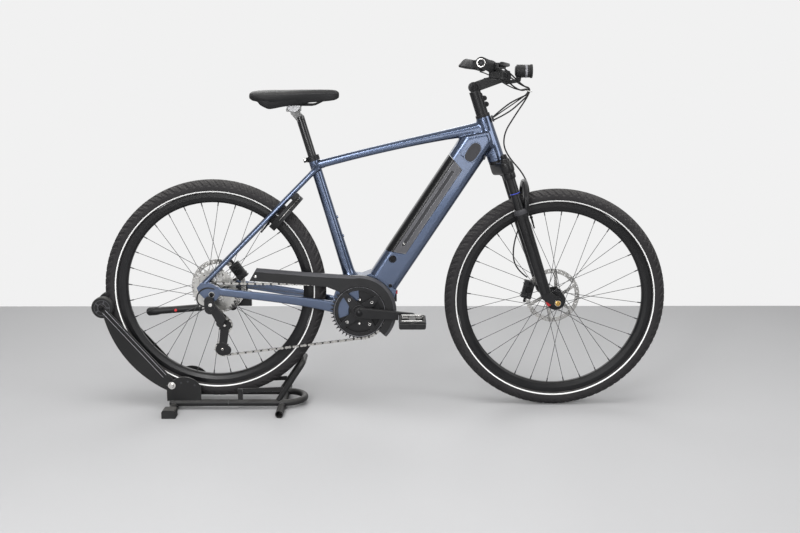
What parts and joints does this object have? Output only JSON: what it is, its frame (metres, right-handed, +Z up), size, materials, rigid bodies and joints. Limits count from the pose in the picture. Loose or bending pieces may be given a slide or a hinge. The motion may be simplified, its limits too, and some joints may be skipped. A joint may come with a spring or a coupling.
{
  "type": "electric trekking bicycle on a rear-wheel floor stand",
  "caption": "Electric trekking bicycle with frame battery, mid motor, suspension fork, disc brakes and ring lock, its rear wheel held in a tubular floor stand",
  "frame": {"origin": "on the floor, under the middle of the whole object's box", "axes": "+X forward, +Y to the rider's left, +Z up"},
  "size_m": [1.868, 0.6378, 1.1311],
  "materials": {
    "frame_paint": "metallic blue-grey lacquer",
    "black_metal": "satin black anodised",
    "black_plastic": "satin moulded",
    "bright_steel": "bright steel",
    "tyre_rubber": "moulded tread",
    "soft_rubber": "matt",
    "saddle_cover": "fine grain",
    "stand_paint": "black powder coat"
  },
  "bodies": {
    "stand": {"stand_base": "stand_paint", "stand_feet": "soft_rubber"},
    "stand_arm": {"stand_arm": "stand_paint"},
    "stand_rollers": {"stand_rollers": "soft_rubber"},
    "bicycle": {"head_tube": "frame_paint", "top_tube": "frame_paint", "down_tube": "frame_paint", "seat_tube": "frame_paint", "seat_stays": "frame_paint", "chain_stays": "frame_paint", "motor_cradle": "frame_paint", "motor_unit": "black_metal", "seat_collar": "black_metal", "ring_lock": "black_plastic", "chain_guard": "black_plastic", "rear_caliper": "black_metal", "rear_axle": "bright_steel", "kickstand_bracket": "black_metal", "derailleur_knuckle": "black_metal", "chain": "bright_steel"},
    "battery": {"battery_pack": "black_plastic"},
    "battery_lock": {"battery_lock": "bright_steel"},
    "lock_bolt": {"ring_lock_bolt": "bright_steel"},
    "kickstand": {"kickstand_leg": "black_metal"},
    "seat_post": {"seat_post": "black_metal"},
    "saddle": {"saddle_rails": "bright_steel", "saddle_pad": "saddle_cover"},
    "steering": {"fork_upper": "black_metal", "stem_base": "black_metal", "cables": "soft_rubber"},
    "fork_lower": {"fork_lowers": "black_metal", "front_axle": "bright_steel", "front_caliper": "black_metal"},
    "front_wheel": {"tyre_front": "tyre_rubber", "rim_front": "black_metal", "spokes_front": "bright_steel", "hub_front": "black_metal", "rotor_front": "bright_steel"},
    "handlebar": {"stem_arm": "black_metal", "handlebar": "black_metal", "grips": "soft_rubber", "control_housings": "black_plastic"},
    "lever_right": {"brake_lever_right": "black_metal"},
    "lever_left": {"brake_lever_left": "black_metal"},
    "shift_lever": {"shift_lever": "black_plastic"},
    "headlamp": {"headlamp": "black_plastic"},
    "rear_wheel": {"tyre_rear": "tyre_rubber", "rim_rear": "black_metal", "spokes_rear": "bright_steel", "hub_rear": "black_metal", "rotor_rear": "bright_steel"},
    "cassette": {"cassette": "bright_steel"},
    "cranks": {"cranks": "black_metal", "chainring": "black_metal"},
    "pedal_right": {"pedal_right": "bright_steel"},
    "pedal_left": {"pedal_left": "bright_steel"},
    "derailleur_link": {"derailleur_link": "black_metal"},
    "derailleur_cage": {"derailleur_cage": "black_metal"},
    "pulley_upper": {"pulley_upper": "black_plastic"},
    "pulley_lower": {"pulley_lower": "black_plastic"}
  },
  "joints": [
    {"name": "lift_off_stand", "type": "slide", "parent": "stand", "child": "bicycle", "axis": [0, 0, 1], "range_m": [0, 0.4]},
    {"name": "stand_arm_swing", "type": "hinge", "parent": "stand", "child": "stand_arm", "pos_m": [-0.6797, 0, 0.0845], "axis": [0, -1, 0], "range_deg": [0, 50]},
    {"name": "stand_roller_spin", "type": "hinge", "parent": "stand_arm", "child": "stand_rollers", "pos_m": [-0.899, 0, 0.34], "axis": [0, 1, 0], "continuous": true},
    {"name": "steering_turn", "type": "hinge", "parent": "bicycle", "child": "steering", "pos_m": [0.2997, 0, 1.0425], "axis": [-0.3123, 0, 0.95], "range_deg": [-45, 45], "deforming": ["cables"]},
    {"name": "fork_travel", "type": "slide", "parent": "steering", "child": "fork_lower", "axis": [-0.3123, 0, 0.95], "range_m": [0, 0.063], "stiffness_N_per_m": 7000, "springref_m": -0.03, "deforming": ["cables"]},
    {"name": "front_wheel_spin", "type": "hinge", "parent": "fork_lower", "child": "front_wheel", "pos_m": [0.573, 0, 0.361], "axis": [0, 1, 0], "continuous": true},
    {"name": "rear_wheel_spin", "type": "hinge", "parent": "bicycle", "child": "rear_wheel", "pos_m": [-0.5362, 0, 0.3915], "axis": [0, 1, 0], "continuous": true},
    {"name": "crank_spin", "type": "hinge", "parent": "bicycle", "child": "cranks", "pos_m": [-0.065, 0, 0.327], "axis": [0, 1, 0], "continuous": true, "deforming": ["chain"]},
    {"name": "cassette_spin", "type": "hinge", "parent": "bicycle", "child": "cassette", "pos_m": [-0.5362, 0, 0.3915], "axis": [0, 1, 0], "continuous": true},
    {"name": "pedal_right_spin", "type": "hinge", "parent": "cranks", "child": "pedal_right", "pos_m": [0.10459, -0.145, 0.31514], "axis": [0, 1, 0], "continuous": true},
    {"name": "pedal_left_spin", "type": "hinge", "parent": "cranks", "child": "pedal_left", "pos_m": [-0.23459, 0.145, 0.33886], "axis": [0, 1, 0], "continuous": true},
    {"name": "derailleur_shift", "type": "hinge", "parent": "bicycle", "child": "derailleur_link", "pos_m": [-0.533, -0.082, 0.345], "axis": [0.8716, 0, 0.4903], "range_deg": [-7, 22], "stiffness_Nm_per_rad": 1.5, "deforming": ["chain"]},
    {"name": "derailleur_follow", "type": "hinge", "parent": "derailleur_link", "child": "derailleur_cage", "pos_m": [-0.515, -0.082, 0.313], "axis": [0.8716, 0, 0.4903], "range_deg": [-22, 7]},
    {"name": "pulley_upper_spin", "type": "hinge", "parent": "derailleur_cage", "child": "pulley_upper", "pos_m": [-0.503, -0.0503, 0.283], "axis": [0, 1, 0], "continuous": true},
    {"name": "pulley_lower_spin", "type": "hinge", "parent": "derailleur_cage", "child": "pulley_lower", "pos_m": [-0.51268, -0.0503, 0.20359], "axis": [0, 1, 0], "continuous": true},
    {"name": "battery_swing_out", "type": "hinge", "parent": "bicycle", "child": "battery", "pos_m": [0.22391, 0, 0.82602], "axis": [0, 1, 0], "range_deg": [0, 20]},
    {"name": "battery_lock_turn", "type": "hinge", "parent": "bicycle", "child": "battery_lock", "pos_m": [0.04256, -0.038, 0.4984], "axis": [0, 1, 0], "range_deg": [0, 90]},
    {"name": "ring_lock_close", "type": "hinge", "parent": "bicycle", "child": "lock_bolt", "pos_m": [-0.30383, 0, 0.64244], "axis": [0.7337, 0, -0.6794], "range_deg": [0, 74]},
    {"name": "kickstand_fold", "type": "hinge", "parent": "bicycle", "child": "kickstand", "pos_m": [-0.497, 0.088, 0.318], "axis": [0, -0.9781, -0.2079], "range_deg": [0, 95], "stiffness_Nm_per_rad": 0.7, "springref_deg": -103.13},
    {"name": "seat_height", "type": "slide", "parent": "bicycle", "child": "seat_post", "axis": [-0.2857, 0, 0.9583], "range_m": [-0.1, 0.06]},
    {"name": "saddle_tilt", "type": "hinge", "parent": "seat_post", "child": "saddle", "pos_m": [-0.268, 0, 0.988], "axis": [0, 1, 0], "range_deg": [-8, 8]},
    {"name": "stem_tilt", "type": "hinge", "parent": "steering", "child": "handlebar", "pos_m": [0.2997, 0, 1.0425], "axis": [0, -1, 0], "range_deg": [-20, 40], "deforming": ["cables"]},
    {"name": "brake_right_pull", "type": "hinge", "parent": "handlebar", "child": "lever_right", "pos_m": [0.37055, -0.1817, 1.10883], "axis": [0, -0.0549, -0.9985], "range_deg": [0, 13], "stiffness_Nm_per_rad": 0.6, "springref_deg": -17.19},
    {"name": "brake_left_pull", "type": "hinge", "parent": "handlebar", "child": "lever_left", "pos_m": [0.37055, 0.1817, 1.10883], "axis": [0, -0.0549, 0.9985], "range_deg": [0, 13], "stiffness_Nm_per_rad": 0.6, "springref_deg": -17.19},
    {"name": "shift_lever_push", "type": "hinge", "parent": "handlebar", "child": "shift_lever", "pos_m": [0.35972, -0.1394, 1.07045], "axis": [0, 0.0549, 0.9985], "range_deg": [0, 25], "stiffness_Nm_per_rad": 0.15, "springref_deg": -11.46},
    {"name": "headlamp_tilt", "type": "hinge", "parent": "handlebar", "child": "headlamp", "pos_m": [0.44, 0, 1.064], "axis": [0, 1, 0], "range_deg": [-15, 15]}
  ],
  "couplings": [
    {"joint": "cassette_spin", "follows": "crank_spin", "ratio": 2.9333},
    {"joint": "pulley_upper_spin", "follows": "crank_spin", "ratio": -4},
    {"joint": "pulley_lower_spin", "follows": "crank_spin", "ratio": 4},
    {"joint": "derailleur_follow", "follows": "derailleur_shift", "ratio": -1}
  ]
}
